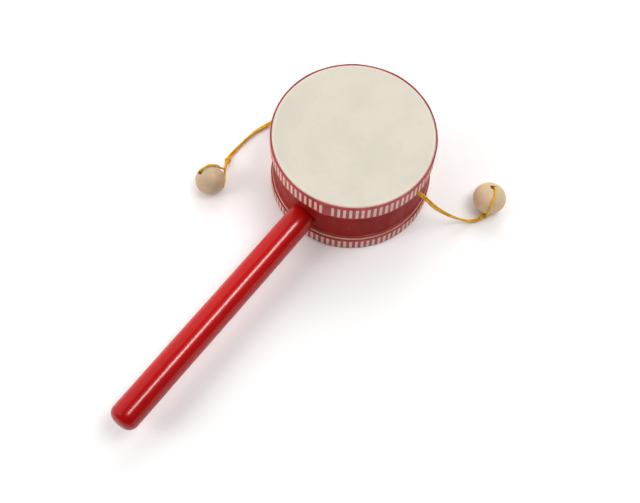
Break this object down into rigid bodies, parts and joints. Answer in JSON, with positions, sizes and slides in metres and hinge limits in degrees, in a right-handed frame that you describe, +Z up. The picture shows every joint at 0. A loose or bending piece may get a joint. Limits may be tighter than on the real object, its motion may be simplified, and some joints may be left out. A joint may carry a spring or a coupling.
{
  "type": "rattle drum",
  "caption": "Small rattle drum on a straight lacquered handle, with a skin on each end, striped tape round both rims and a bead on a doubled cord at each side.",
  "frame": {"origin": "middle of the lower skin's flat outer face, which is the face the drum lies on", "axes": "+Z up along the drum's axis, handle towards -Y, one cord towards +X and one towards -X"},
  "size_m": [0.131, 0.211, 0.0426],
  "materials": {
    "shell_lacquer": "dark red lacquer, satin",
    "skin": "cream parchment, matt with faint mottling",
    "striped_tape": "red tape with short white bars",
    "handle_lacquer": "bright red lacquer, glossy, slightly uneven",
    "cord": "waxed yellow thread, satin",
    "bead_wood": "bare pale wood, dull"
  },
  "bodies": {
    "root": {"shell": "shell_lacquer", "upper_head": "skin", "lower_head": "skin", "upper_tape": "striped_tape", "lower_tape": "striped_tape", "handle": "handle_lacquer", "left_cord": "cord", "left_knot": "cord", "left_loop": "cord", "left_bead": "bead_wood", "right_cord": "cord", "right_knot": "cord", "right_loop": "cord", "right_bead": "bead_wood"}
  },
  "joints": []
}
